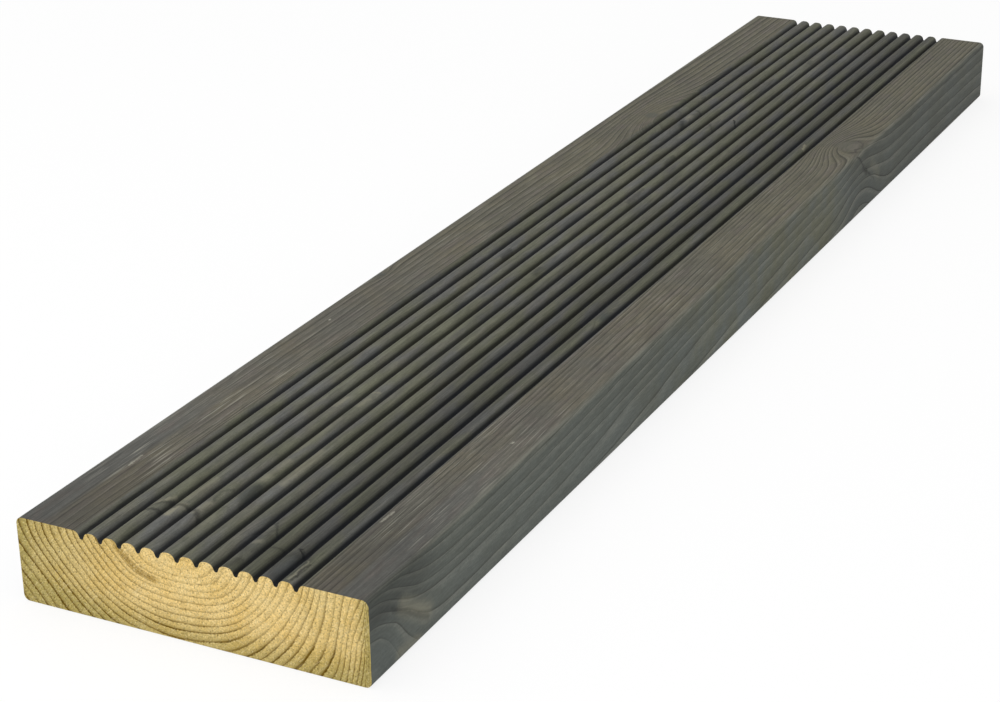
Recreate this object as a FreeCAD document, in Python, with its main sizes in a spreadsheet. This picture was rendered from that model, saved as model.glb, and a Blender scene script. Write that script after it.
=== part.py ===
"""A grooved softwood decking board, planed from one piece of pine and cut to a short length.

X runs along the grain, Y across the board and Z up through its thickness. The origin is the
middle of the underside, where the board beds on its joists. The board is planed all round with
eased arrises, and twelve grooves run the whole length of the walking face between two flat
margins. Every groove is the same cut of a shaped cutter: a round root, leaning walls, and round
shoulders that leave eleven bead-like ribs level with the margins. Both ends are square saw cuts.
"""

import FreeCAD
import Part
import Sketcher

import math
import os

# Lengths and radii in millimetres, the lean in degrees from upright.
SIZES = {
    "board_length": 732.0,
    "board_width": 145.0,
    "board_thickness": 34.0,
    "top_arris_radius": 2.6,
    "bottom_arris_radius": 2.4,
    "groove_count": 12,
    "groove_pitch": 8.04,
    "groove_depth": 3.05,
    "groove_root_radius": 0.9,
    "groove_wall_lean": 18.0,
    "rib_crown_radius": 2.5,
    "cutter_overrun": 2.0,
}

# The points of a sketch element, as constraints number them, and the sketch's own axis and origin.
START, END, CENTRE = 1, 2, 3
HORIZONTAL_AXIS = -1
ORIGIN = (HORIZONTAL_AXIS, START)


def make_sheet(doc):
    """Keeps every driving dimension in one spreadsheet, under an alias that says what it is."""
    sheet = doc.addObject("Spreadsheet::Sheet", "Sizes")
    for row, (alias, value) in enumerate(SIZES.items(), start=1):
        sheet.set(f"A{row}", alias)
        sheet.set(f"B{row}", str(value))
        sheet.setAlias(f"B{row}", alias)
    doc.recompute()


def section_sketch(body, name):
    """An empty sketch square to the grain: its own X is the board's Y, and its Y the board's Z."""
    sketch = body.newObject("Sketcher::SketchObject", name)
    plane = next(f for f in body.Origin.OriginFeatures if f.Role == "YZ_Plane")
    sketch.AttachmentSupport = [(plane, "")]
    sketch.MapMode = "FlatFace"
    return sketch


def tie(sketch, name, kind, elements, value, expression):
    """Adds a named dimension to a sketch and ties it to the sheet."""
    index = sketch.addConstraint(Sketcher.Constraint(kind, *elements, value))
    sketch.renameConstraint(index, name)
    sketch.setExpression(f"Constraints.{name}", expression)


def relate(sketch, kind, *groups):
    """Adds the same geometric constraint once for each group of elements."""
    for elements in groups:
        sketch.addConstraint(Sketcher.Constraint(kind, *elements))


def draw_blank(body):
    """The blank's rectangle, standing on its underside and centred on the board's middle plane."""
    sketch = section_sketch(body, "blank_section")
    half, top = SIZES["board_width"] / 2, SIZES["board_thickness"]
    corners = [FreeCAD.Vector(*c) for c in ((-half, 0), (half, 0), (half, top), (-half, top))]
    sides = [Part.LineSegment(a, b) for a, b in zip(corners, corners[1:] + corners[:1])]
    underside, right, face, left = sketch.addGeometry(sides, False)
    relate(
        sketch,
        "Coincident",
        (underside, END, right, START),
        (right, END, face, START),
        (face, END, left, START),
        (left, END, underside, START),
    )
    relate(sketch, "Horizontal", (underside,), (face,))
    relate(sketch, "Vertical", (right,), (left,))
    relate(sketch, "Symmetric", (underside, START, underside, END, *ORIGIN))
    across = (underside, START, underside, END)
    upwards = (right, START, right, END)
    tie(sketch, "width", "DistanceX", across, 2 * half, "Sizes.board_width")
    tie(sketch, "thickness", "DistanceY", upwards, top, "Sizes.board_thickness")
    return sketch


def plane_blank(doc, body):
    """The planed blank: the rectangle padded along the grain, half to each side of the origin."""
    blank = body.newObject("PartDesign::Pad", "planed_blank")
    blank.Profile = draw_blank(body)
    blank.SideType = "Symmetric"
    blank.setExpression("Length", "Sizes.board_length")
    doc.recompute()
    return blank


def arrises(shape, height):
    """Names of the sharp edges that run along the whole board at one height."""
    names = []
    for number, edge in enumerate(shape.Edges, start=1):
        box = edge.BoundBox
        whole_length = box.XLength > 0.99 * shape.BoundBox.XLength
        if whole_length and max(abs(box.ZMin - height), abs(box.ZMax - height)) < 1e-3:
            names.append(f"Edge{number}")
    return names


def ease_arrises(doc, body, blank):
    """Rounds the four long arrises, those of the walking face a little more than the lower two."""
    for name, height, size in (
        ("top_arrises", SIZES["board_thickness"], "top_arris_radius"),
        ("bottom_arrises", 0.0, "bottom_arris_radius"),
    ):
        easing = body.newObject("PartDesign::Fillet", name)
        easing.Base = (blank, arrises(blank.Shape, height))
        easing.setExpression("Radius", f"Sizes.{size}")
        doc.recompute()
        blank = easing


def first_groove_middle():
    """Where the lowest-numbered groove runs, so that the set of them is centred on the board."""
    return -(SIZES["groove_count"] - 1) / 2 * SIZES["groove_pitch"]


def groove_outline():
    """One cut across the grain: shoulder, wall, root, wall, shoulder, then the cutter's body above.

    Each wall touches the root circle and a shoulder circle where their radii are square to it, so
    the two circles take up (1 - sin lean) of their radii in depth and the wall's run the rest.
    """
    lean = math.radians(SIZES["groove_wall_lean"])
    crown, root = SIZES["rib_crown_radius"], SIZES["groove_root_radius"]
    run = (SIZES["groove_depth"] - (crown + root) * (1 - math.sin(lean))) / math.cos(lean)
    half_mouth = (crown + root) * math.cos(lean) + run * math.sin(lean)
    middle, top = first_groove_middle(), SIZES["board_thickness"]
    upwards = FreeCAD.Vector(0, 0, 1)

    def point(side, across, height):
        return FreeCAD.Vector(middle + side * across, height)

    def shoulder(side):
        return Part.Circle(point(side, half_mouth, top - crown), upwards, crown)

    def wall_top(side):
        across = half_mouth - crown * math.cos(lean)
        return point(side, across, top - crown * (1 - math.sin(lean)))

    def wall_foot(side):
        height = top - SIZES["groove_depth"] + root * (1 - math.sin(lean))
        return point(side, root * math.cos(lean), height)

    root_circle = Part.Circle(point(0, 0, top - SIZES["groove_depth"] + root), upwards, root)
    lid = top + SIZES["cutter_overrun"]
    quarter, half, whole = math.pi / 2, math.pi, 2 * math.pi
    return [
        Part.ArcOfCircle(shoulder(-1), lean, quarter),
        Part.LineSegment(wall_top(-1), wall_foot(-1)),
        Part.ArcOfCircle(root_circle, half + lean, whole - lean),
        Part.LineSegment(wall_foot(1), wall_top(1)),
        Part.ArcOfCircle(shoulder(1), quarter, half - lean),
        Part.LineSegment(point(1, half_mouth, top), point(1, half_mouth, lid)),
        Part.LineSegment(point(1, half_mouth, lid), point(-1, half_mouth, lid)),
        Part.LineSegment(point(-1, half_mouth, lid), point(-1, half_mouth, top)),
    ]


def draw_groove(body):
    """The first groove's cut, fixed by its depth, its three circles and the lean of its walls."""
    sketch = section_sketch(body, "groove_section")
    outline = sketch.addGeometry(groove_outline(), False)
    left_shoulder, left_wall, root, right_wall, right_shoulder, right_side, lid, left_side = outline
    middle, top = first_groove_middle(), SIZES["board_thickness"]
    root_height = top - SIZES["groove_depth"] + SIZES["groove_root_radius"]
    centreline = Part.LineSegment(
        FreeCAD.Vector(middle, 0), FreeCAD.Vector(middle, root_height)
    )
    axis = sketch.addGeometry(centreline, True)
    relate(
        sketch,
        "Tangent",
        (left_shoulder, START, left_wall, START),
        (left_wall, END, root, START),
        (root, END, right_wall, START),
        (right_wall, END, right_shoulder, END),
    )
    relate(
        sketch,
        "Coincident",
        (right_shoulder, START, right_side, START),
        (right_side, END, lid, START),
        (lid, END, left_side, START),
        (left_side, END, left_shoulder, END),
        (axis, END, root, CENTRE),
    )
    relate(sketch, "PointOnObject", (axis, START, HORIZONTAL_AXIS))
    relate(sketch, "Horizontal", (lid,))
    relate(
        sketch,
        "Vertical",
        (axis,),
        (left_side,),
        (right_side,),
        (left_shoulder, END, left_shoulder, CENTRE),
        (right_shoulder, START, right_shoulder, CENTRE),
    )
    relate(sketch, "Symmetric", (left_shoulder, CENTRE, right_shoulder, CENTRE, axis))
    relate(sketch, "Equal", (left_shoulder, right_shoulder))
    for name, kind, elements, value, expression in (
        ("middle", "DistanceX", (*ORIGIN, axis, START), middle,
         "-(Sizes.groove_count - 1) / 2 * Sizes.groove_pitch"),
        ("face", "DistanceY", (*ORIGIN, left_shoulder, END), top, "Sizes.board_thickness"),
        ("root_height", "DistanceY", (*ORIGIN, root, CENTRE), root_height,
         "Sizes.board_thickness - Sizes.groove_depth + Sizes.groove_root_radius"),
        ("crown", "Radius", (left_shoulder,), SIZES["rib_crown_radius"], "Sizes.rib_crown_radius"),
        ("root", "Radius", (root,), SIZES["groove_root_radius"], "Sizes.groove_root_radius"),
        ("wall", "Angle", (right_wall,), math.radians(90 - SIZES["groove_wall_lean"]),
         "90 deg - Sizes.groove_wall_lean * 1 deg"),
        ("overrun", "DistanceY", (right_side, START, right_side, END), SIZES["cutter_overrun"],
         "Sizes.cutter_overrun"),
    ):
        tie(sketch, name, kind, elements, value, expression)
    return sketch


def cut_grooves(doc, body):
    """Cuts the first groove the whole length of the board and repeats it across the face."""
    groove = body.newObject("PartDesign::Pocket", "first_groove")
    groove.Profile = draw_groove(body)
    groove.SideType = "Symmetric"
    groove.Type = "ThroughAll"
    doc.recompute()
    grooves = body.newObject("PartDesign::LinearPattern", "grooves")
    grooves.Originals = [groove]
    grooves.Direction = (groove.Profile[0], ["H_Axis"])
    grooves.Mode = "Spacing"
    grooves.setExpression("Offset", "Sizes.groove_pitch")
    grooves.setExpression("Occurrences", "Sizes.groove_count")
    body.Tip = grooves
    doc.recompute()


def make_board(doc):
    """The whole board: a planed blank with eased arrises and a grooved walking face."""
    body = doc.addObject("PartDesign::Body", "decking_board")
    body.Label = "decking_board"
    blank = plane_blank(doc, body)
    ease_arrises(doc, body, blank)
    cut_grooves(doc, body)
    return body


def check(doc, bodies):
    """Stops the build if a feature failed, a sketch is loose, or a solid isn't one sound piece."""
    for item in doc.Objects:
        if {"Invalid", "Error"} & set(item.State):
            raise RuntimeError(f"{item.Label} failed: {item.State}")
        if item.TypeId == "Sketcher::SketchObject" and not item.FullyConstrained:
            raise RuntimeError(f"{item.Label} is not fully constrained")
    for body in bodies:
        shape = body.Shape
        if shape.isNull() or not shape.isValid() or len(shape.Solids) != 1:
            raise RuntimeError(f"{body.Label} is not one valid solid")


def main():
    """Builds the document, checks it and writes each piece to its own file."""
    doc = FreeCAD.newDocument("grooved_decking_board")
    make_sheet(doc)
    bodies = [make_board(doc)]
    doc.recompute()
    check(doc, bodies)
    os.makedirs("parts", exist_ok=True)
    for body in bodies:
        body.Shape.exportStep(f"parts/{body.Label}.step")
        box = body.Shape.BoundBox
        print(body.Label, round(box.XLength, 3), round(box.YLength, 3), round(box.ZLength, 3),
              "mm, volume", round(body.Shape.Volume / 1000, 2), "cm3")


main()
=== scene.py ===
"""The looks of a short grooved decking board: planed pine, stained dark grey, with bare sawn ends.

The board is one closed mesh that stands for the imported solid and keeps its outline. Its grain is
worked out as the growth rings of one log with its knots, so that the lines on the walking face, the
edges, the underside and both sawn ends belong to the same piece of wood. X runs along the grain,
Y across the board and Z up.
"""

import logging
import math
from collections.abc import Callable
from dataclasses import dataclass, field
from enum import Enum
from functools import partial, reduce

import bpy
import numpy as np
from mathutils import Matrix, Vector
from mathutils.geometry import delaunay_2d_cdt


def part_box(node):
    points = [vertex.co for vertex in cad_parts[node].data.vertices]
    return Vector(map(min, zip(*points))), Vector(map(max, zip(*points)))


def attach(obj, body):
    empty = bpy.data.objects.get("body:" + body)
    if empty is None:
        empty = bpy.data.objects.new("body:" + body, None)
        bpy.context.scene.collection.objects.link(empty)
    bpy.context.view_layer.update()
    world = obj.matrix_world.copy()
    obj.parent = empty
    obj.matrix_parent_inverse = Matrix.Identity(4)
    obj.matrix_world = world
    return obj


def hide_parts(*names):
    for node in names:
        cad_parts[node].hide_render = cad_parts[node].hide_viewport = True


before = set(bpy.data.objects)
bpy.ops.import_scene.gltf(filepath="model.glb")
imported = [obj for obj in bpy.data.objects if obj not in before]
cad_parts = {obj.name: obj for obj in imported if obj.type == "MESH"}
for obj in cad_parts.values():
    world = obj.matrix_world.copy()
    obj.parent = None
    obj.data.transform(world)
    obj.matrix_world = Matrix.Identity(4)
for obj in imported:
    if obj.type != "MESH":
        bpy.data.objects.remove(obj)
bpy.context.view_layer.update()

LOG = logging.getLogger("decking_board")
MM = 0.001
NODE = "decking_board"
BODY = "root"

Array = np.ndarray
Pair = tuple[float, float]
Triple = tuple[float, float, float]
Colour = tuple[float, float, float, float]
# In mm: x from the near sawn end, y from the board's middle, and the depth under the walking face.
Place = tuple[Array, Array, Array]
Socket = bpy.types.NodeSocket
Feed = Socket | float | Triple | Colour
AddNode = Callable[..., Socket]
Sources = dict[str, Socket]


class Skin(Enum):
    """Which finish a face of the board carries; the value is its material slot."""

    STAINED = 0
    SAWN = 1


def linear(code: str) -> Colour:
    """Turns an sRGB colour, written as "#rrggbb", into a linear one with an alpha of 1."""
    parts = [int(code[i:i + 2], 16) / 255 for i in (1, 3, 5)]
    return (*[c / 12.92 if c <= 0.04045 else ((c + 0.055) / 1.055) ** 2.4 for c in parts], 1.0)


def add_node(tree: bpy.types.NodeTree, kind: str, *values: Feed, feeds: dict | None = None,
             out: int | str = 0, ramp: tuple[Pair, ...] = (), **settings) -> Socket | None:
    """Adds a node, sets its properties, and feeds its inputs.

    Args:
        tree: the node tree.
        kind: the node's type name without "ShaderNode", and its operation after a dot if it has one.
        values: what the first inputs get in order, each a value or the socket to link.
        feeds: what other inputs get, by name or number.
        out: the output to return, by name or number.
        ramp: for a colour ramp, its stops as (position, grey level).
        settings: the node's own properties.

    Returns:
        The chosen output socket, or None where the node has no outputs.
    """
    kind, _, operation = kind.partition(".")
    node = tree.nodes.new("ShaderNode" + kind)
    if operation:
        node.operation = operation
    for name, value in settings.items():
        setattr(node, name, value)
    for key, value in [*enumerate(values), *(feeds or {}).items()]:
        if isinstance(value, Socket):
            tree.links.new(value, node.inputs[key])
        else:
            node.inputs[key].default_value = value
    if ramp:
        stops = node.color_ramp.elements
        while len(stops) < len(ramp):
            stops.new(0.5)
        for stop, (position, level) in zip(stops, ramp):
            stop.position = position
            stop.color = (level, level, level, 1.0)
    return node.outputs[out] if len(node.outputs) else None


def cleared(owner: bpy.types.Material | bpy.types.World) -> AddNode:
    """Clears the nodes of a material or a world, and gives what adds new ones."""
    owner.use_nodes = True
    owner.node_tree.nodes.clear()
    return partial(add_node, owner.node_tree)


def add_object(name: str, data: bpy.types.ID) -> bpy.types.Object:
    """Adds an object to the scene."""
    made = bpy.data.objects.new(name, data)
    bpy.context.scene.collection.objects.link(made)
    return made


def product(node: AddNode, *factors: Feed | tuple) -> Socket:
    """Multiplies values, some of them mapped between limits first.

    Args:
        node: adds a node to the tree.
        factors: each a value, or a tuple of a value, the two limits that it is held between, and what
            they turn into, which is 0 and 1 unless it is given.

    Returns:
        The product.
    """
    values = [node("MapRange", *factor) if isinstance(factor, tuple) else factor for factor in factors]
    return reduce(partial(node, "Math.MULTIPLY"), values)


def layered(node: AddNode, base: Socket | str, *coats: tuple) -> Socket:
    """Lays coats of colour over a base.

    Args:
        node: adds a node to the tree.
        base: the colour under the coats, as a socket or an sRGB hex code.
        coats: for each coat its colour in either form, and the factors of how thick it is.

    Returns:
        The colour with all its coats.
    """
    for tint, *factors in coats:
        under, over = [linear(c) if isinstance(c, str) else c for c in (base, tint)]
        amount = product(node, *factors)
        base = node("Mix", feeds={0: amount, 6: under, 7: over}, out=2, data_type="RGBA")
    return base


def spread(start: float, end: float, step: float) -> Array:
    """Even values between two ends and without them, about a step apart."""
    return np.linspace(start, end, round(abs(end - start) / step), endpoint=False)[1:]


def smooth(low: float, high: float, value: Array) -> Array:
    """Rises from 0 at low to 1 at high with level ends: t squared times (3 - 2t)."""
    t = np.clip((value - low) / (high - low), 0.0, 1.0)
    return t * t * (3 - 2 * t)


def bell(value: Array) -> Array:
    """A bell curve, 1 at 0 and a third at 1: e to the minus of the square."""
    return np.exp(-value * value)


@dataclass(frozen=True)
class Knot:
    """A branch stub, and the grain that flows round it. Lengths in mm, x from the near sawn end.

    Its own wood is an ellipsoid. The grain is turned aside out to reach times that size, and stretch
    times further along the board. The rings that it carries with it are beyond those of its place.
    """

    x: float
    y: float
    depth: float
    along: float
    across: float
    down: float
    reach: float = 2.0
    beyond: float = 1.0
    shade: float = 0.5
    rim: float = 0.3
    stretch: float = 1.5

    def distance(self, place: Place, stretch: float = 1.0) -> Array:
        """How far a point is from the knot's middle, where 1 is the edge of its own wood."""
        x, y, depth = place
        return np.sqrt(((x - self.x) / (self.along * stretch)) ** 2 + ((y - self.y) / self.across) ** 2
                       + ((depth - self.depth) / self.down) ** 2)

    def inside(self, low: float, high: float, place: Place) -> Array:
        """How far a point is in the knot: 1 up to the low distance, and 0 past the high one."""
        return 1 - smooth(low, high, self.distance(place))

    def pull(self, place: Place) -> Array:
        """How far the grain is drawn to the knot's own, a bell curve of the distance."""
        return bell(self.distance(place, self.stretch) / self.reach * 1.26)


@dataclass(frozen=True)
class Nick:
    """A small dent in the surface. Lengths in mm."""

    x: float
    y: float
    depth: float
    along: float
    across: float
    dent: float

    def weight(self, place: Place) -> Array:
        """A bell curve of the distance from the nick, 1 at its middle."""
        x, y, depth = place
        return (bell((x - self.x) / self.along) * bell((y - self.y) / self.across)
                * bell((depth - self.depth) / self.across))


@dataclass(frozen=True)
class Stroke:
    """A dark or pale mark in the wood, drawn along a line of points. Lengths in mm.

    A point is its distance from the near sawn end, and its Y on the walking face. The -Y edge carries
    on from there, so that a point on it has a Y of -72.5 less its depth. A tone of -1 is dark and 1 pale.
    """

    points: tuple[Pair, ...]
    width: float
    tone: float


@dataclass(frozen=True)
class Log:
    """The log that the board was sawn from. Lengths in mm, x from the near sawn end.

    The pith lies just above the walking face and climbs along the board. The rings about it are
    pressed flat near the middle and rounder further out.
    """

    pith_y: float = 5.5
    pith_above_face: float = 1.5
    pith_climb: float = 9.0
    climb_from: float = 150.0
    climb_to: float = 700.0
    right_drop: float = 7.0
    inner_flattening: float = 1.85
    outer_flattening: float = 1.20
    edge_lean: float = 8.8
    edge_growth: float = 11.5
    knots: tuple[Knot, ...] = (
        Knot(14, 21, -2, 18, 10, 4, reach=1.1, beyond=1.0, shade=0.02, rim=0.0, stretch=1.0),
        Knot(52, 6, 0, 8, 3.4, 3, beyond=1.0, shade=0.5),
        Knot(20, -16, 0, 6, 3.5, 2.5, reach=2.2, shade=0.1, rim=0.15),
        Knot(11, -35, 0, 8, 5, 2.5, reach=1.1, beyond=0.4, shade=0.3, rim=0.4, stretch=1.0),
        Knot(0, -73, 29, 22, 1.2, 14, reach=0.1, beyond=0.0, shade=0.25, rim=0.0),
        Knot(0, -73, 34, 16, 1.2, 24, reach=1.7, beyond=2.8, shade=0.0, rim=0.0, stretch=1.2),
        Knot(258, 70, 0, 4, 2, 3, shade=0.6),
        Knot(257, -42, 0, 5, 2, 2, shade=0.6),
        Knot(522, 51, 0, 5, 4, 3, reach=0.8, beyond=-1.6, shade=0.4, rim=0.1),
        Knot(522, 44, 0, 16, 8, 5, reach=2.0, beyond=-3.0, shade=0.0, rim=0.0),
        Knot(516, 31, 0, 5, 2.5, 3, reach=2.5, beyond=-1.0, shade=0.4),
        Knot(517, -64, 1, 9.5, 8.5, 8, reach=1.9, beyond=3.5, shade=0.12, rim=0.25, stretch=1.8),
        Knot(512, -75.5, 36, 22, 2.5, 24, reach=1.5, beyond=1.5, shade=0.0, rim=0.0, stretch=1.0),
    )
    nicks: tuple[Nick, ...] = (
        Nick(18.5, -37.0, 1.0, 3.0, 1.6, 0.5),
        Nick(528, 5, 0.5, 4.0, 1.5, 0.3),
        Nick(515.5, -72.5, 11, 3.0, 2.0, 0.45),
    )
    strokes: tuple[Stroke, ...] = tuple(Stroke(*row) for row in (
        (((24, 34.5), (27.5, 28), (32.5, 24.5), (33.5, 21), (30.5, 16), (26, 12)), 1.8, -0.6),
        (((28, 33.5), (35.5, 28.5)), 1.4, -0.5),
        (((40, 15), (47, 16.5), (51.5, 14)), 1.0, -0.35),
        (((43, 4.5), (57, 6.5)), 3.0, -0.5),
        (((29, -19), (35, -15)), 1.0, -0.5),
        (((19, -22), (20, -27)), 1.2, -0.45),
        (((22, -33), (16.5, -38.5)), 1.4, -1.0),
        (((14, -41.4), (2, -41.2)), 0.8, -0.6),
        (((16, -39.5), (14, -40.3), (2, -40.1)), 0.8, 0.8),
        (((0, -16), (7, -17)), 2.4, -0.5),
        (((523, 2.5), (533, 8)), 0.9, -1.0),
        (((511, 29), (519, 32)), 2.6, -0.7),
        (((515, 13.5), (521, 17)), 1.6, -0.45),
        (((538, 28), (539, 32)), 1.6, -0.55),
        (((524, 31.5), (530, 32)), 2.5, 0.5),
        (((503, -42.4), (510, -41)), 1.1, 0.9),
        (((532, 8), (541, 9)), 2.2, 0.35),
        (((25, 24.6), (33, 23.4)), 3.0, 0.85),
        (((30, 16.8), (38, 15.8)), 2.8, 0.75),
        (((37, 24.6), (56, 24)), 2.0, 0.45),
        (((28, 34), (38, 29.5)), 1.3, 0.6),
        (((12, 35), (23, 34)), 2.2, 0.3),
        (((14, 8), (30, 8.5)), 2.2, 0.25),
        (((88, 9.5), (120, 9)), 2.4, 0.25),
        (((62, 8), (80, 7.6)), 2.4, 0.45),
        (((62, -0.5), (92, 0.5)), 2.4, 0.5),
        (((20, -15.5), (21, -16.5)), 2.4, 0.5),
        (((26, -15), (33, -14.5)), 1.6, 0.3),
        (((129, 16.6), (138, 16.2)), 1.8, 0.5),
        (((133, 8.6), (140, 7.5)), 2.0, 0.45),
        (((145.5, 10.5), (147.5, 7)), 1.2, 0.55),
        (((203.4, 63.3), (204, 63.3)), 1.0, 1.5),
        (((128.8, -61.7), (129.4, -61.7)), 1.0, 1.5),
        (((51, 59.8), (60, 60.1)), 0.8, 0.9),
        (((52, -48.2), (60, -48.5)), 0.8, 0.9),
        (((288, 7), (296, 8)), 2.4, -0.45),
        (((302, 30), (311, 30.6)), 2.2, -0.5),
        (((391, 7), (412, 8)), 2.2, -0.45),
        (((453, 13.2), (465, 14)), 2.2, -0.5),
        (((648, 7), (654, 8)), 2.2, -0.4),
        (((504, -72.5), (510, -78.5), (516, -83.5), (523, -88)), 1.4, -0.6),
        (((522, -87.5), (531, -93)), 1.2, -0.3),
        (((512, -81), (518, -85)), 2.6, -0.7),
        (((507, -66), (509, -69), (513, -67.5), (517, -69.5), (524, -68), (527, -64)), 1.2, -0.5),
        (((526, -83), (538, -92)), 5.0, 0.22),
        (((23, -86), (40, -97)), 6.5, 0.55),
        (((15, -83), (30, -92.5), (40, -99)), 2.4, -0.4),
        (((20, -103), (33, -105)), 4.5, 0.4),
        (((0, -80), (12, -82)), 5.0, -0.3),
    ))

    def ring_width(self, radius: Array) -> Array:
        """How wide the rings are at a radius, in mm.

        They are wide at the pith, then narrow, and widen again past 20 mm out. Good and bad years
        follow each other everywhere.
        """
        width = 2.4 + 1.4 * np.exp(-radius / 9) + 0.9 * smooth(20, 32, radius)
        return width * (1 + 0.11 * np.sin(radius / 2.7) + 0.07 * np.sin(radius / 1.1 + 2))

    def radius(self, place: Place) -> Array:
        """How far out in the log each point lies, measured on the ring that it shares.

        The radius is the root of the squared sideways distance over the flattening, plus the squared
        depth under the pith. The rings press in to the lower left and bulge out to the lower right.
        Along the -Y edge they lean, and more and more of them run out of it. The whole sways by under
        a millimetre so that no line is ruled.

        Args:
            place: the points.

        Returns:
            The radius at each point, in mm.
        """
        x, y, depth = place
        sideways = y - self.pith_y
        climb = self.pith_climb * smooth(self.climb_from, self.climb_to, x)
        under = depth + self.pith_above_face + climb
        under = under + self.right_drop * smooth(15, 55, -sideways)
        rough = np.hypot(sideways / 1.5, under)
        rounder = (self.outer_flattening - self.inner_flattening) * smooth(8, 44, rough)
        sideways = sideways / (self.inner_flattening + rounder)
        radius = np.hypot(sideways, under)
        turn = np.arctan2(sideways, under)
        pressed = 0.07 * bell((turn - 1.1) / 0.35)
        pressed = pressed - 0.06 * bell((turn + 0.75) / 0.45) * smooth(30, 45, rough)
        pressed = pressed + 0.08 * smooth(38, 60, radius) * bell((turn + 1.45) / 0.5)
        pressed = pressed - 0.08 * smooth(24, 54, radius) * bell((turn - 1.5) / 0.4)
        lean = np.clip(depth / 18, 0, 1) + 0.12 * np.clip(depth / 16 - 1.1, 0, 1)
        lean = self.edge_lean * lean * smooth(58, 72.3, -y)
        lean = lean * (1 - 0.35 * smooth(500, 560, x))
        lean = lean + self.edge_growth * smooth(60, 560, x) * smooth(30, 72, -y)
        sway = 0.4 * np.sin(2.3 * turn + x / 71 + 0.6)
        sway = sway + 0.25 * np.sin(5.1 * turn - x / 43 + radius / 9)
        return radius * (1 + pressed) + lean + sway * smooth(3, 20, radius)

    def plain_ring_number(self, place: Place) -> Array:
        """The ring count without knots: one over the ring width, added up along the radius."""
        step = 0.25
        out = np.arange(0.0, 140.0, step)
        count = np.concatenate([[0.0], np.cumsum(step / self.ring_width(out[:-1] + step / 2))])
        return np.interp(self.radius(place), out, count)

    def ring_number(self, place: Place) -> Array:
        """Counts the growth rings out from the pith to each point.

        Near a knot the count is drawn to the knot's own, so that the lines part and flow round it.
        """
        count = self.plain_ring_number(place)
        for knot in self.knots:
            middle = tuple(np.array([float(v)]) for v in (knot.x, knot.y, knot.depth))
            own = self.plain_ring_number(middle)[0] + knot.beyond
            count = count + (own - count) * knot.pull(place)
        return count

    def knot_wood(self, place: Place) -> Array:
        """How much of each point is the darker wood of a knot, from 0 to 1."""
        return np.max([knot.inside(0.7, 1.15, place) * knot.shade for knot in self.knots], axis=0)

    def knot_body(self, place: Place) -> Array:
        """How far each point is inside a knot, from 0 to 1, where the board's own rings don't show."""
        return np.max([knot.inside(0.65, 1.1, place) for knot in self.knots if knot.shade], axis=0)

    def knot_rim(self, place: Place) -> Array:
        """How near each point is to a knot's rim: a bell curve about the edge of its wood."""
        return np.max([bell((knot.distance(place) - 1) * knot.across / 1.1) * knot.rim
                       for knot in self.knots], axis=0)

    def dents(self, place: Place) -> Array:
        """How deep the nicks go, in mm."""
        return sum(nick.dent * nick.weight(place) for nick in self.nicks)


@dataclass(frozen=True, kw_only=True)
class Finish:
    """A finish of dry wood: rough, with a fine relief in mm. Each kind paints its own colour.

    The attributes are what it reads of the board. A noise is its name, its size in mm along, across
    and up the board, its detail and its roughness.
    """

    name: str
    roughness: float
    specular: float
    relief: float
    attributes: tuple[str, ...]
    noises: tuple[tuple[str, Triple, float, float], ...]
    ior: float = 1.45

    def sources(self, node: AddNode) -> Sources:
        """Makes what the finish is worked out from: the place in mm, the attributes and the noises."""
        place = node("VectorMath.SCALE", node("TexCoord", out="Object"), feeds={3: 1 / MM})
        at = {name: node("SeparateXYZ", place, out=name.upper()) for name in "xyz"}
        at["place"] = place
        for name in self.attributes:
            at[name] = node("Attribute", out="Fac", attribute_name=name)
        for name, size, detail, rough in self.noises:
            at[name] = node("TexNoise", feeds={"Vector": node("VectorMath.DIVIDE", place, size),
                                               "Scale": 1.0, "Detail": detail, "Roughness": rough})
        return at

    def paint(self, node: AddNode, at: Sources) -> tuple[Socket, Socket, Socket | float]:
        """Works out what the finish looks like.

        Args:
            node: adds a node to the tree.
            at: the finish's sources.

        Returns:
            The colour, the height as a share of the relief, and the roughness.
        """
        raise NotImplementedError

    def material(self) -> bpy.types.Material:
        """Builds the material, which reads the board's own attributes and its Object coordinates."""
        stuff = bpy.data.materials.new(self.name)
        node = cleared(stuff)
        colour, height, rough = self.paint(node, self.sources(node))
        bump = node("Bump", feeds={"Height": height, "Distance": self.relief * MM, "Strength": 1.0})
        node("OutputMaterial", node("BsdfPrincipled", feeds={
            "Base Color": colour, "Roughness": rough, "Specular IOR Level": self.specular,
            "IOR": self.ior, "Normal": bump}))
        return stuff


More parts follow.
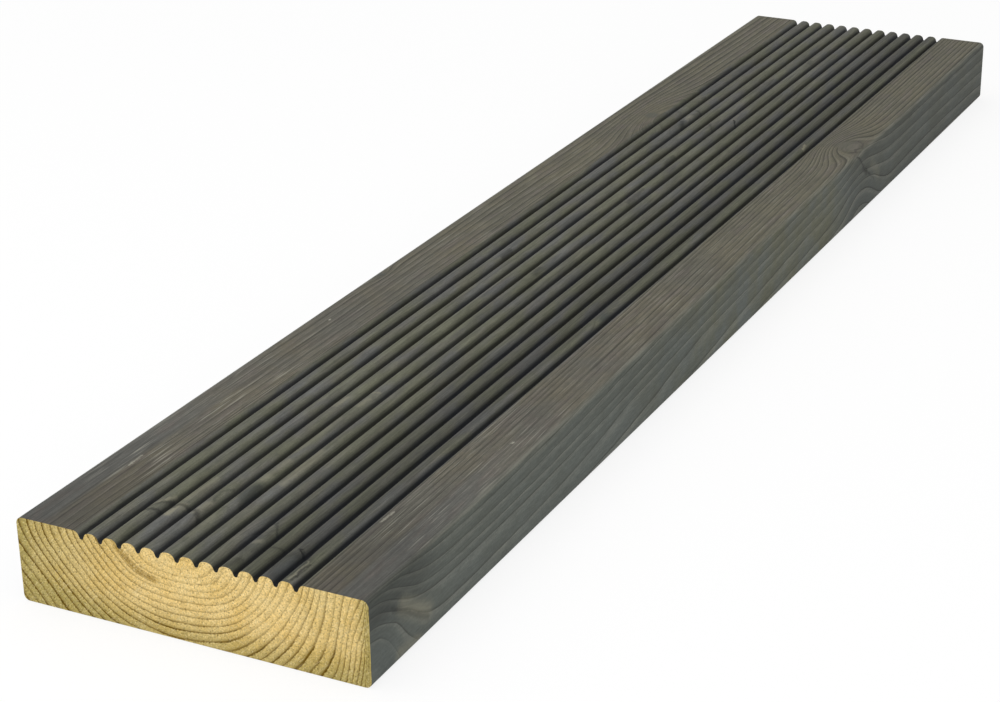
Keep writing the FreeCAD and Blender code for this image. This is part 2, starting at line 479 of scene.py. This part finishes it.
@dataclass(frozen=True, kw_only=True)
class StainedPine(Finish):
    """Planed pine, stained a translucent dark grey: matt, with dark late wood and paler worn fibres.

    The planer leaves the late wood a little proud. The grooves are painted near black as painted shade,
    and the top arrises carry a painted highlight. A grain noise is its name, its length in mm, how many
    go to a ring, its detail and its roughness. A stretch is where a colour changes, in mm from the near
    sawn end.
    """

    log: Log
    board: Triple
    name: str = "stained_planed_pine"
    roughness: float = 0.7
    specular: float = 0.25
    relief: float = 0.16
    warm: str = "#666153"
    cool: str = "#636158"
    dull: str = "#61615d"
    olive: str = "#65624e"
    blush: str = "#67605a"
    rib: str = "#5f5f57"
    rib_olive: str = "#616252"
    rib_blue: str = "#5c5d5b"
    edge_top: str = "#5c615b"
    edge_low: str = "#626762"
    edge_olive: str = "#64644f"
    late_wood: str = "#2b2a22"
    # the pale colour of worn fibres, also laid as the painted highlight along the top arrises
    worn: str = "#a4a294"
    bare: str = "#95917c"
    knot: str = "#3b4140"
    spot: str = "#181815"
    # painted shade: the near-black colours laid in the grooves, blue and olive
    groove_shade_blue: str = "#12161d"
    groove_shade_olive: str = "#15150f"
    attributes: tuple[str, ...] = (
        "rings", "knot", "knot_rim", "groove", "edge", "worn", "ribs", "stain", "lined", "arris")
    noises: tuple[tuple[str, Triple, float, float], ...] = (
        ("speck", (0.7, 0.7, 0.7), 2.0, 0.6),
        ("mottle", (34.0, 34.0, 34.0), 3.0, 0.6),
        ("ragged", (1.6, 1.6, 1.6), 2.0, 0.6),
        ("patch", (30.0, 9.0, 9.0), 2.0, 0.5),
        ("blush", (21.0, 5.0, 5.0), 2.0, 0.5),
        ("pores", (6.0, 0.6, 0.6), 2.0, 0.5),
    )
    grain_noises: tuple[tuple[str, float, float, float, float], ...] = (
        ("fibre", 26.0, 4.0, 3.0, 0.6),
        ("line", 120.0, 1.9, 2.0, 0.5),
        ("streak", 24.0, 4.2, 2.0, 0.5),
    )
    lines_per_ring: float = 1.9
    cross_drift: float = 0.03
    ragged_reach: Triple = (3.0, 2.0, 0.0)
    dull_stretch: Pair = (56.0, 136.0)
    olive_stretch: Pair = (216.0, 396.0)
    green_rise: Pair = (216.0, 306.0)
    green_fall: Pair = (456.0, 496.0)
    blue_stretch: Pair = (36.0, 166.0)
    marked_height: Pair = (20.0, 25.0)
    edge_reach: Pair = (1.3, 0.9)

    def sources(self, node: AddNode) -> Sources:
        """Adds the distance from the near end, and the noises that are drawn out along the grain."""
        at = super().sources(node)
        at["from_near"] = node("Math.ADD", at["x"], self.board[0] / 2)
        under = product(node, node("Math.SUBTRACT", at["z"], at["y"]), self.cross_drift)
        for name, length, per_ring, detail, rough in self.grain_noises:
            along = node("Math.DIVIDE", at["x"], length)
            over = product(node, at["rings"], per_ring)
            at[name] = node("TexNoise", feeds={"Vector": node("CombineXYZ", along, over, under),
                                               "Scale": 1.0, "Detail": detail, "Roughness": rough})
        return at

    def late_lines(self, node: AddNode, at: Sources) -> tuple[Socket, Socket]:
        """Where the dark late wood shows: the end of each ring, and thin lines between them.

        It is narrower on the ribs and the edge. Each ring and line has a strength of its own, and
        they fade in and out along the grain.

        Args:
            node: adds a node to the tree.
            at: the finish's sources.

        Returns:
            The ring count with a fine wander, and how dark the late wood is, from 0 to 1.
        """
        wander = node("Math.SUBTRACT", at["fibre"], 0.5)
        ring = node("Math.MULTIPLY_ADD", wander, 0.14, at["rings"])
        line = node("Math.MULTIPLY_ADD", at["rings"], self.lines_per_ring, 0.37)
        line = node("Math.MULTIPLY_ADD", wander, 0.35, line)
        to_ring, to_line = [
            node("Math.SUBTRACT", 1.0, node("Math.FRACT", count)) for count in (ring, line)]
        ring_draw, line_draw = [
            node("TexWhiteNoise", feeds={"W": node("Math.FLOOR", count)}, noise_dimensions="1D")
            for count in (ring, line)]
        width = node("Math.MULTIPLY_ADD", at["ribs"], -0.2, 0.42)
        width = node("Math.MULTIPLY_ADD", at["edge"], -0.24, width)
        late = node("Math.MAXIMUM", node("MapRange", to_ring, width, 0.0),
                    node("MapRange", to_ring, 0.75, 0.0, 0.0, 0.3))
        late = product(node, late, (ring_draw, 0.0, 1.0, 0.6, 1.0), (at["line"], 0.35, 0.6, 0.65, 1.0),
                       (at["rings"], 4.0, 12.0, 0.4, 1.0))
        thin = product(node, (to_line, 0.38, 0.0), line_draw, (at["line"], 0.4, 0.6, 0.15, 1.0),
                       (at["edge"], 0.0, 1.0, 1.0, 0.0))
        late = node("Math.MAXIMUM", late, thin)
        return ring, product(node, late, at["lined"], (at["knot"], 0.0, 1.0, 1.0, 0.0))

    def stained(self, node: AddNode, at: Sources, ring: Socket, late: Socket) -> Socket:
        """The colour of the stained wood before it is worn and marked.

        The margins, the ribs and the edge have hues of their own, in patches and along the board.
        The early wood is paler and the late wood dark. Fibres, pores and specks vary the light.

        Args:
            node: adds a node to the tree.
            at: the finish's sources.
            ring: the ring count.
            late: how dark the late wood is.

        Returns:
            The colour.
        """
        rib = layered(
            node, self.rib,
            (self.rib_olive, (at["patch"], 0.42, 0.6)),
            (self.rib_blue, (at["patch"], 0.46, 0.34, 0.0, 0.8)),
            (self.blush, (at["blush"], 0.5, 0.66, 0.0, 0.2)))
        edge = layered(
            node, self.edge_top,
            (self.edge_low, (at["z"], self.board[2] - 6.0, 6.0)),
            (self.edge_olive, (at["from_near"], *self.green_rise, 0.1, 1.0),
             (at["from_near"], *self.green_fall, 1.0, 0.3), (at["mottle"], 0.4, 0.6, 0.0, 0.8)))
        pale = node("MapRange", at["edge"], 0.0, 1.0, 0.14, 0.24)
        colour = layered(
            node, self.warm,
            (self.cool, (at["mottle"], 0.4, 0.6)),
            (self.dull, (at["lined"], 0.3, 0.8, 0.9, 0.0),
             (at["from_near"], *self.dull_stretch, 1.0, 0.4)),
            (self.olive, (at["from_near"], *self.olive_stretch, 0.0, 0.5)),
            (self.blush, (at["blush"], 0.5, 0.66, 0.0, 0.5)),
            (rib, at["ribs"]),
            (edge, at["edge"]),
            (self.worn, (node("Math.FRACT", ring), 0.0, 0.5, pale, 0.0), at["lined"],
             (at["streak"], 0.4, 0.65, 0.35, 1.1)),
            (self.late_wood, late, 0.95))
        light = node("Math.MULTIPLY_ADD", node("MapRange", at["fibre"], 0.3, 0.7, -0.2, 0.2),
                     node("MapRange", at["edge"], 0.0, 1.0, 1.0, 0.45), 1.0)
        # the light by place: the wood's own tone, and painted shade where the edge darkens towards the
        # far end
        light = product(node, light, at["stain"], (at["pores"], 0.3, 0.7, 0.86, 1.14),
                        (at["speck"], 0.3, 0.7, 0.84, 1.16), (at["mottle"], 0.35, 0.65, 1.06, 0.94))
        return node("VectorMath.SCALE", colour, feeds={3: light})

    def marks(self, node: AddNode, at: Sources) -> dict[int, Socket]:
        """How strong the dark marks (-1) and the pale ones (1) are: the knots' rims and the strokes.

        The walking face and the -Y edge are unrolled to one flat chart. A stroke is as strong as the
        point is near its line there, and a wobble of the chart makes it ragged.

        Args:
            node: adds a node to the tree.
            at: the finish's sources.

        Returns:
            For -1 and 1, a strength from 0 to 1.
        """
        _, width, thick = self.board
        on_edge = node("MapRange", at["y"], *[inwards - width / 2 for inwards in self.edge_reach])
        down = product(node, node("Math.SUBTRACT", at["z"], thick), on_edge)
        chart = node("CombineXYZ", at["from_near"], node("Math.ADD", at["y"], down))
        wobble = node("VectorMath.SUBTRACT", at["ragged"].node.outputs["Color"], (0.5, 0.5, 0.5))
        wobble = node("VectorMath.MULTIPLY", wobble, self.ragged_reach)
        chart = node("VectorMath.ADD", chart, wobble)
        tones = {-1: product(node, at["knot_rim"], (at["mottle"], 0.42, 0.58, 0.3, 1.0)), 1: 0.0}
        for stroke in self.log.strokes:
            nearest = None
            for start, end in zip(stroke.points, stroke.points[1:]):
                span = Vector((*end, 0.0)) - Vector((*start, 0.0))
                off = node("VectorMath.SUBTRACT", chart, (*start, 0.0))
                part = node("VectorMath.DOT_PRODUCT", off, tuple(span / span.length_squared), out="Value")
                part = node("Math.MINIMUM", node("Math.MAXIMUM", part, 0.0), 1.0)
                along = node("VectorMath.SCALE", tuple(span), feeds={3: part})
                gap = node("VectorMath.DISTANCE", off, along, out="Value")
                nearest = gap if nearest is None else node("Math.MINIMUM", nearest, gap)
            sign = -1 if stroke.tone < 0 else 1
            weight = node("MapRange", nearest, stroke.width, 0.0, 0.0, abs(stroke.tone),
                          interpolation_type="SMOOTHSTEP", clamp=False)
            tones[sign] = node("Math.MAXIMUM", tones[sign], weight)
        shown = node("Math.MAXIMUM", node("MapRange", at["z"], *self.marked_height), on_edge)
        return {sign: product(node, tone, shown) for sign, tone in tones.items()}

    def paint(self, node: AddNode, at: Sources) -> tuple[Socket, Socket, Socket | float]:
        """Paints the stained wood: its colour, then wear with a painted highlight along the top arrises,
        knots, marks and the painted shade of the grooves.
        """
        ring, late = self.late_lines(node, at)
        marks = self.marks(node, at)
        worn = product(node, at["worn"], (at["streak"], 0.58, 0.74, 0.0, 0.68))
        # painted highlight: the pale worn colour along the top arrises, laid together with the real worn
        # spells
        arris = product(node, at["arris"], (at["fibre"], 0.35, 0.65, 0.05, 0.3))
        bare = layered(node, self.worn, (self.bare, node("Math.MAXIMUM", at["ribs"], at["edge"])))
        # painted shade: the near-black colour of the grooves, laid on last through the groove mask
        groove = layered(node, self.groove_shade_blue, (
            self.groove_shade_olive, (at["patch"], 0.4, 0.6), (at["from_near"], *self.blue_stretch, 0.35, 1.0)))
        colour = layered(
            node, self.stained(node, at, ring, late),
            (self.worn, node("Math.MAXIMUM", worn, arris)),
            (self.knot, at["knot"]),
            (bare, marks[1], (at["fibre"], 0.3, 0.6, 0.35, 0.85)),
            (self.spot, marks[-1]),
            (groove, at["groove"]))
        height = node("Math.MULTIPLY", late, -0.6)
        for name, share in (("fibre", 0.6), ("pores", 0.5), ("speck", 0.5)):
            height = node("Math.MULTIPLY_ADD", at[name], share, height)
        rough = node("MapRange", at["speck"], 0.3, 0.7, self.roughness - 0.08, self.roughness + 0.1)
        return colour, height, rough


@dataclass(frozen=True, kw_only=True)
class SawnPine(Finish):
    """Bare pressure-treated pine across the grain, as a fine saw leaves it: dry, yellow, a little green.

    The rings show as thin olive-brown lines on straw-yellow wood, with bright grains and dark pores.
    Sizes are in mm. The profile is how dark a ring is, from its start to its end.
    """

    name: str = "bare_sawn_pine"
    roughness: float = 0.9
    specular: float = 0.15
    relief: float = 0.3
    straw: str = "#e3c278"
    light: str = "#ecd08f"
    late_wood: str = "#6a5212"
    green: str = "#9a9150"
    pore: str = "#55420f"
    grain: str = "#fff0bd"
    resin: str = "#8c6d22"
    attributes: tuple[str, ...] = ("rings", "rim", "resin")
    noises: tuple[tuple[str, Triple, float, float], ...] = (
        ("grit", (0.55, 0.55, 0.55), 2.0, 0.6),
        ("cloud", (14.0, 14.0, 14.0), 3.0, 0.6),
        ("pores", (0.75, 0.75, 0.75), 1.0, 0.5),
    )
    grain_size: Triple = (0.6, 0.6, 0.6)
    grain_shift: Triple = (31.0, 17.0, 5.0)
    scratch_size: Triple = (1.0, 9.0, 0.5)
    scratch_turn: float = math.pi / 4
    profile: tuple[Pair, ...] = (
        (0.0, 0.6), (0.05, 0.0), (0.5, 0.04), (0.76, 0.36), (0.88, 1.0), (1.0, 1.0))

    def paint(self, node: AddNode, at: Sources) -> tuple[Socket, Socket, Socket | float]:
        """Paints the sawn wood: clouds, rings and resin, then grit, scratches, grains and pores."""
        rings, rim = at["rings"], at["rim"]
        shifted = node("VectorMath.ADD", at["place"], self.grain_shift)
        turned = node("VectorRotate", feeds={"Vector": at["place"], "Angle": self.scratch_turn},
                      rotation_type="X_AXIS")
        grains, scratch = [
            node("TexNoise", feeds={"Vector": node("VectorMath.DIVIDE", vector, size), "Scale": 1.0,
                                    "Detail": 1.0})
            for vector, size in ((shifted, self.grain_size), (turned, self.scratch_size))]
        ring = node("Math.MULTIPLY_ADD", node("Math.SUBTRACT", at["grit"], 0.5), 0.3, rings)
        ring = node("Math.MULTIPLY_ADD", node("Math.SUBTRACT", at["cloud"], 0.5), 0.4, ring)
        draw = node("TexWhiteNoise", feeds={"W": node("Math.FLOOR", ring)}, noise_dimensions="1D")
        late = node("ValToRGB", node("Math.FRACT", ring), ramp=self.profile)
        late = product(node, late, (draw, 0.0, 1.0, 0.6, 1.0), (rings, 0.5, 5.0, 0.3, 1.0),
                       (at["cloud"], 0.35, 0.6, 0.95, 0.7), (rim, 0.0, 0.7, 0.68, 1.42))
        grit = node("MapRange", at["grit"], 0.3, 0.7, 0.7, 1.3)
        fleck = node("MapRange", at["pores"], 0.62, 0.72, 0.0, 0.55)
        colour = layered(
            node, self.straw,
            (self.light, (at["cloud"], 0.35, 0.65)),
            (self.green, rim, 0.62),
            (self.late_wood, late, 0.95),
            (self.resin, at["resin"], (rings, 4.2, 4.35), (rings, 5.3, 5.4, 1.0, 0.0), 0.6))
        colour = layered(
            node, node("VectorMath.SCALE", colour, feeds={3: grit}),
            (self.grain, (scratch, 0.56, 0.7, 0.0, 0.16)),
            (self.grain, (grains, 0.6, 0.72, 0.0, 0.45), (late, 0.0, 1.0, 1.0, 0.0)),
            (self.pore, fleck))
        return colour, node("Math.MULTIPLY_ADD", fleck, -0.8, at["grit"]), self.roughness


@dataclass(frozen=True)
class Section:
    """The board's section square to the grain, in mm, with Y across and Z up from the underside."""

    width: float
    thick: float
    top_arris: float = 2.6
    bottom_arris: float = 2.4
    grooves: int = 12
    pitch: float = 8.04
    groove_depth: float = 3.05
    root_radius: float = 0.9
    wall_lean: float = math.radians(18.0)
    crown_radius: float = 2.5
    margin_step: float = 1.5
    edge_step: float = 1.5
    underside_step: float = 5.0

    @property
    def half_mouth(self) -> float:
        """Half the width of a groove at the face, from where its two rounds meet the leaning wall."""
        rounds = self.root_radius + self.crown_radius
        lean = self.wall_lean
        rise = self.groove_depth - rounds + rounds * math.sin(lean)
        return rounds * math.cos(lean) + rise * math.tan(lean)

    @property
    def grooved_half(self) -> float:
        """Half the width of the grooved field, out to the last mouth."""
        return (self.grooves - 1) / 2 * self.pitch + self.half_mouth

    def groove(self) -> Array:
        """One groove from its +Y lip to its -Y lip, about its own middle.

        Each half is a crown round, a leaning wall and a root round. A round is its centre plus its
        radius times the cosine and sine of a turning angle.

        Returns:
            Points (y, z) with z below the face as a negative number.
        """
        lean, root, crown = self.wall_lean, self.root_radius, self.crown_radius
        turn = np.linspace(math.pi / 2, math.pi - lean, 6)
        shoulder = np.stack([self.half_mouth + crown * np.cos(turn), crown * (np.sin(turn) - 1)], 1)
        swing = np.linspace(-lean, -math.pi / 2, 4)
        floor = root - self.groove_depth
        foot = np.stack([root * np.cos(swing), floor + root * np.sin(swing)], 1)
        half = np.concatenate([shoulder, foot])
        mirrored = half[-2::-1] * (-1, 1)
        return np.concatenate([half, mirrored])

    def face(self) -> Array:
        """The walking face from its +Y arris to its -Y arris: a margin, the grooves, a margin."""
        middles = ((self.grooves - 1) / 2 - np.arange(self.grooves)) * self.pitch
        cut = self.groove()
        cuts = cut[None] + np.stack([middles, np.full(self.grooves, self.thick)], 1)[:, None]
        outer = self.width / 2 - self.top_arris
        across = spread(outer, self.grooved_half, self.margin_step)
        margin = np.stack([across, np.full(len(across), self.thick)], 1)
        return np.concatenate([margin, cuts.reshape(-1, 2), margin[::-1] * (-1, 1)])

    def corner(self, y: float, z: float, radius: float, start: float) -> Array:
        """An eased arris as a quarter round, its centre set in by its radius, turning from start."""
        turn = start + np.linspace(0, math.pi / 2, 6)
        centre = np.array([y - math.copysign(radius, y), z + (radius if z == 0 else -radius)])
        return centre + radius * np.stack([np.cos(turn), np.sin(turn)], 1)

    def edge(self) -> Array:
        """The +Y edge between its two arrises, going up."""
        up = spread(self.bottom_arris, self.thick - self.top_arris, self.edge_step)
        return np.stack([np.full(len(up), self.width / 2), up], 1)

    def outline(self) -> Array:
        """The whole closed section, anticlockwise with Y to the right and Z up.

        Returns:
            Points (y, z), the last not repeating the first.
        """
        half = self.width / 2
        flat = half - self.bottom_arris
        across = spread(-flat, flat, self.underside_step)
        underside = np.stack([across, np.zeros(len(across))], 1)
        return np.concatenate([
            underside,
            self.corner(half, 0.0, self.bottom_arris, -math.pi / 2),
            self.edge(),
            self.corner(half, self.thick, self.top_arris, 0.0),
            self.face(),
            self.corner(-half, self.thick, self.top_arris, math.pi / 2),
            self.edge()[::-1] * (-1, 1),
            self.corner(-half, 0.0, self.bottom_arris, math.pi),
        ])

    def depth_in_groove(self, y: Array, z: Array) -> Array:
        """How far down a groove a point lies, from 0 at the face to 1 at the root."""
        inside = np.abs(y) < self.grooved_half + 0.01
        below = (self.thick - z) / self.groove_depth
        return np.where(inside & (below < 1.02), np.clip(below, 0, 1), 0.0)

    def inner_points(self, step: float) -> Array:
        """Evenly spread points inside the section, clear of its outline, for the sawn ends."""
        clear = step * 0.6
        rows = np.arange(clear, self.thick - clear, step)
        columns = np.arange(-self.width / 2 + clear, self.width / 2 - clear, step)
        y, z = np.meshgrid(columns, rows)
        y = y + step / 2 * (np.arange(len(rows)) % 2)[:, None]
        y, z = y.ravel(), z.ravel()
        outline = self.outline()
        apart = np.hypot(y[:, None] - outline[:, 0], z[:, None] - outline[:, 1]).min(1)
        under_grooves = z < self.thick - self.groove_depth - clear
        side = np.abs(y) > self.grooved_half + clear
        edge = np.abs(y) < self.width / 2 - clear
        keep = (apart > clear) & edge & (under_grooves | side)
        return np.stack([y[keep], z[keep]], 1)


@dataclass
class GroovedBoard:
    """The decking board: one planed and stained length with two bare sawn ends.

    Lengths are in mm. A worn spell is its middle along the board, its reach and its strength.
    """

    length: float
    section: Section
    log: Log = field(default_factory=Log)
    coarse_step: float = 4.2
    fine_step: float = 1.5
    fine_stretches: tuple[Pair, ...] = ((0.0, 66.0), (494.0, 552.0))
    worn_spells: tuple[Triple, ...] = ((120, 60, 1.0), (53, 14, 1.0), (300, 90, 0.5), (430, 60, 0.4))
    cap_step: float = 1.3

    def stations(self) -> Array:
        """Distances from the near end of the section copies, closer together round the knots."""
        even = np.linspace(0, self.length, round(self.length / self.fine_step) * 20 + 1)
        fine = np.zeros(len(even))
        for low, high in self.fine_stretches:
            fine = np.maximum(fine, smooth(low - 20, low, even) * (1 - smooth(high, high + 20, even)))
        density = 1 / (self.coarse_step + (self.fine_step - self.coarse_step) * fine)
        count = np.concatenate([[0.0], np.cumsum((density[1:] + density[:-1]) / 2 * np.diff(even))])
        return np.interp(np.linspace(0, count[-1], round(count[-1]) + 1), count, even)

    def sides(self) -> tuple[Array, Array]:
        """The long faces: the section carried along the stations.

        Returns:
            The points, station by station, and the quads between them.
        """
        outline, along = self.section.outline(), self.stations()
        points = np.empty((len(along), len(outline), 3))
        points[..., 0] = along[:, None]
        points[..., 1:] = outline[None]
        index = np.arange(len(along) * len(outline)).reshape(len(along), -1)
        following = np.roll(index, -1, axis=1)
        quads = np.stack([index[:-1], following[:-1], following[1:], index[1:]], -1)
        return points.reshape(-1, 3), quads.reshape(-1, 4)

    def cap(self) -> tuple[Array, Array]:
        """A sawn end in the plane: the outline and the points inside it, joined by triangles.

        Returns:
            The inner points (y, z), and triangles over the outline's points and then these.
        """
        outline, inner = self.section.outline(), self.section.inner_points(self.cap_step)
        flat = [Vector(p) for p in np.concatenate([outline, inner])]
        made = delaunay_2d_cdt(flat, [], [list(range(len(outline)))], 1, 1e-5)
        source = np.array([group[0] for group in made[3]])
        corners = source[np.array(made[2])]
        at = np.array([p[:] for p in made[0]])[np.array(made[2])]
        first, second = at[:, 1] - at[:, 0], at[:, 2] - at[:, 0]
        turned = first[:, 0] * second[:, 1] < first[:, 1] * second[:, 0]
        corners[turned] = corners[turned, ::-1]
        return inner, corners

    def relief(self, points: Array) -> Array:
        """Sinks the points of the long faces where they are nicked, towards the board's middle."""
        x, y, z = points.T
        dent = self.log.dents((x, y, self.section.thick - z))
        on_edge = np.abs(y) > self.section.width / 2 - 0.1
        moved = points.copy()
        moved[:, 1] -= np.sign(y) * dent * on_edge
        moved[:, 2] -= dent * ~on_edge
        return moved

    def mesh(self) -> bpy.types.Mesh:
        """Joins the long faces and the two sawn ends into one closed mesh with its attributes.

        Returns:
            The mesh, in metres, in the board's own frame.
        """
        sides, quads = self.sides()
        inner, corners = self.cap()
        ring = len(self.section.outline())
        count = len(sides)
        near = np.column_stack([np.zeros(len(inner)), inner])
        far = near + (self.length, 0, 0)
        points = np.concatenate([self.relief(sides), near, far])
        near_map = np.concatenate([np.arange(ring), count + np.arange(len(inner))])
        far_map = np.concatenate([count - ring + np.arange(ring),
                                  count + len(inner) + np.arange(len(inner))])
        triangles = np.concatenate([near_map[corners][:, ::-1], far_map[corners]])

        mesh = bpy.data.meshes.new("grooved_board")
        faces = quads.tolist() + triangles.tolist()
        mesh.from_pydata((points * MM - (self.length * MM / 2, 0, 0)).tolist(), [], faces)
        skins = np.full(len(faces), Skin.STAINED.value)
        skins[len(quads):] = Skin.SAWN.value
        mesh.polygons.foreach_set("material_index", skins)
        mesh.polygons.foreach_set("use_smooth", np.ones(len(faces), bool))
        mesh.set_sharp_from_angle(angle=math.radians(50))
        for name, values in self.attributes(np.concatenate([sides, near, far])).items():
            layer = mesh.attributes.new(name, "FLOAT", "POINT")
            layer.data.foreach_set("value", values.astype(np.float32))
        mesh.validate()
        return mesh

    def attributes(self, points: Array) -> dict[str, Array]:
        """What the finishes need to know at each point.

        Args:
            points: places in mm, x from the near end.

        Returns:
            For each attribute's name, its value at each point.
        """
        section, log = self.section, self.log
        x, y, z = points.T
        depth = section.thick - z
        place = (x, y, depth)
        to_edge = section.width / 2 - np.abs(y)
        ribs = 1 - smooth(section.grooved_half - 1.5, section.grooved_half, np.abs(y))
        worn = sum(share * bell((x - middle) / reach) for middle, reach, share in self.worn_spells)
        top = smooth(24, 30, z)
        edge = 1 - smooth(0.0, 3.0, to_edge)
        lined = np.maximum(smooth(100, 190, x), 1 - smooth(58, 62, np.abs(y))) * 0.7 + 0.3
        lined = np.maximum(lined, edge) * (1 - 0.55 * ribs) * (1 + 0.35 * smooth(440, 520, x))
        rim = 1 - smooth(0, 6, to_edge) + smooth(18, 36, depth)
        rim = rim + smooth(15, 80, y) + 0.22 * smooth(35, 55, -y)
        # painted shade: the groove mask darkens the grooves towards their roots, a little more on the -Y
        # side
        groove = smooth(0.08, 0.7, section.depth_in_groove(y, z))
        return {
            "rings": log.ring_number(place),
            "knot": log.knot_wood(place),
            "knot_rim": log.knot_rim(place),
            "groove": groove * (0.92 - 0.11 * smooth(-25, 10, y)),
            "ribs": ribs * top,
            "edge": edge,
            # painted highlight along the top arrises, left off near the near end
            "arris": bell((to_edge - 1.4) / 0.9) * top * smooth(20, 80, x),
            "rim": np.clip(rim, 0, 1.2),
            "resin": (x < self.length / 2) * smooth(11, 15, y) * (1 - smooth(29, 32, y)),
            "worn": np.clip(worn, 0, 1) * (1 - edge) * (1 - ribs),
            "lined": lined * (1 - 0.85 * log.knot_body(place)),
            "stain": self.stain(place, ribs * top, edge),
        }

    def stain(self, place: Place, ribs: Array, edge: Array) -> Array:
        """How much light each point gives back, as the photo shows it by place: partly the wood's own
        tone, and partly painted shade.

        The ribs are darker towards -Y and brighter near the near end. The flat margins are darker
        there, and the edge is darker at its two ends. Its darkening towards the far end is painted shade,
        where the light falls off.

        Args:
            place: the points.
            ribs: where the ribs are, from 0 to 1.
            edge: where the edges are, from 0 to 1.

        Returns:
            The light at each point, where 1 is the finish's own.
        """
        x, y, depth = place
        light = np.full(len(x), 0.96)
        light -= ribs * 0.31 * bell((y + 37) / 26) * smooth(-41.8, -39.8, y)
        light += ribs * 0.07 * bell((y - 22) / 16)
        light += ribs * 0.09 * (1 - smooth(120, 280, x)) * smooth(-20, 0, y)
        light -= ribs * 0.08 * smooth(420, 520, x)
        light -= (1 - ribs) * (1 - edge) * 0.22 * (1 - smooth(40, 80, x))
        # painted shade: the edge darkens towards the far end, where the light falls off
        far = 0.04 * smooth(200, 300, x) + 0.28 * smooth(465, 500, x)
        near = 0.36 * (1 - smooth(25, 60, x)) * (1 - smooth(8, 28, depth))
        ends = (far + near) * (0.35 + 0.65 * (y < 0))
        return light * (1 - edge * (ends + 0.07 * (1 - smooth(4, 16, depth))))

    def build(self) -> bpy.types.Object:
        """Makes the board's object, dresses it, and puts it on the frame."""
        piece = add_object("grooved_board", self.mesh())
        size = (self.length, self.section.width, self.section.thick)
        for finish in (StainedPine(log=self.log, board=size), SawnPine()):
            piece.data.materials.append(finish.material())
        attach(piece, BODY)
        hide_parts(NODE)
        return piece


def rays_that_see(node: AddNode) -> Socket:
    """Marks the rays that carry a picture of the surroundings: the camera's, mirrored and clear ones."""
    rays = [node("LightPath", out=f"Is {kind} Ray") for kind in ("Camera", "Glossy", "Transmission")]
    return node("Math.MAXIMUM", node("Math.MAXIMUM", *rays[:2]), rays[2])


@dataclass(frozen=True)
class Lamp:
    """A square soft lamp aimed at the middle of the board. Place and width in metres."""

    name: str
    place: Triple
    width: float
    watts: float

    def build(self) -> None:
        """Hangs the lamp."""
        light = bpy.data.lights.new(self.name, "AREA")
        light.size = self.width
        light.energy = self.watts
        lamp = add_object(self.name, light)
        lamp.location = self.place
        lamp.rotation_euler = (-Vector(self.place)).to_track_quat("-Z", "Y").to_euler()


@dataclass
class Studio:
    """The pale floor, the soft light and the camera, which stands where the photographer stood."""

    camera_place: Triple = (-0.9532, -0.4259, 0.4244)
    azimuth: float = math.radians(25.087)
    elevation: float = math.radians(23.616)
    roll: float = math.radians(-0.048)
    lens: float = 84.21
    shift: Pair = (-0.081, -0.0028)
    floor_half: float = 12.0
    floor_gap: float = 0.0002
    pale: str = "#ffffff"
    floor_lift: float = 0.8
    floor_glow: float = 1.03
    ambient: float = 0.62
    lamps: tuple[Lamp, ...] = (
        Lamp("key_lamp", (-0.5, 0.4, 1.7), 1.4, 7.5),
        Lamp("fill_lamp", (-2.0, -0.5, 0.8), 1.2, 9.0),
    )

    def camera(self) -> None:
        """Sets up the camera, which leans down by the elevation and turns from +X by the azimuth."""
        flat = math.cos(self.elevation)
        look = Vector((flat * math.cos(self.azimuth), flat * math.sin(self.azimuth),
                       -math.sin(self.elevation)))
        right = Vector((math.sin(self.azimuth), -math.cos(self.azimuth), 0.0))
        turned = Matrix((right, right.cross(look), -look)).transposed()
        eye = add_object("camera", bpy.data.cameras.new("camera"))
        eye.matrix_world = (Matrix.Translation(self.camera_place) @ turned.to_4x4()
                            @ Matrix.Rotation(self.roll, 4, "Z"))
        eye.data.sensor_width = 36.0
        eye.data.lens = self.lens
        eye.data.shift_x, eye.data.shift_y = self.shift
        bpy.context.scene.camera = eye

    def floor(self) -> None:
        """Lays the floor: one flat square, white to the camera where nothing shades it.

        It lies a hair under the board, and is clear from below, so that the underside can be seen.
        """
        corners = [(x * self.floor_half, y * self.floor_half, -self.floor_gap)
                   for x, y in ((-1, -1), (1, -1), (1, 1), (-1, 1))]
        mesh = bpy.data.meshes.new("floor")
        mesh.from_pydata(corners, [], [(0, 1, 2, 3)])
        stuff = bpy.data.materials.new("pale_floor")
        node = cleared(stuff)
        shade = node("BsdfDiffuse", linear(self.pale))
        glow = node("Emission", linear(self.pale), self.floor_glow)
        seen = node("Math.MULTIPLY", rays_that_see(node), self.floor_lift)
        shader = node("MixShader", seen, shade, glow)
        under = node("NewGeometry", out="Backfacing")
        node("OutputMaterial", node("MixShader", under, shader, node("BsdfTransparent")))
        mesh.materials.append(stuff)
        ground = add_object("floor", mesh)

    def world(self) -> None:
        """A plain soft light from all round, and a white background to what looks past the board."""
        world = bpy.data.worlds.new("studio")
        bpy.context.scene.world = world
        node = cleared(world)
        level = node("MapRange", rays_that_see(node), 0.0, 1.0, self.ambient, 1.0)
        node("OutputWorld", node("Background", linear(self.pale), level))

    def build(self) -> None:
        """Sets up the whole studio."""
        self.camera()
        self.floor()
        self.world()
        for lamp in self.lamps:
            lamp.build()
        bpy.context.scene.view_settings.view_transform = "Standard"


def main() -> None:
    """Builds the board and the studio."""
    logging.basicConfig(level=logging.INFO, format="%(name)s: %(message)s")
    low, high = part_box(NODE)
    length, width, thick = ((high - low) / MM)[:]
    board = GroovedBoard(length, Section(width, thick)).build()
    triangles = sum(len(p.vertices) - 2 for p in board.data.polygons)
    LOG.info("%s: %d points, %d triangles", board.name, len(board.data.vertices), triangles)
    studio = Studio()
    studio.build()
    LOG.info("studio: camera, floor and %d lamps", len(studio.lamps))


if __name__ == "__main__":
    main()
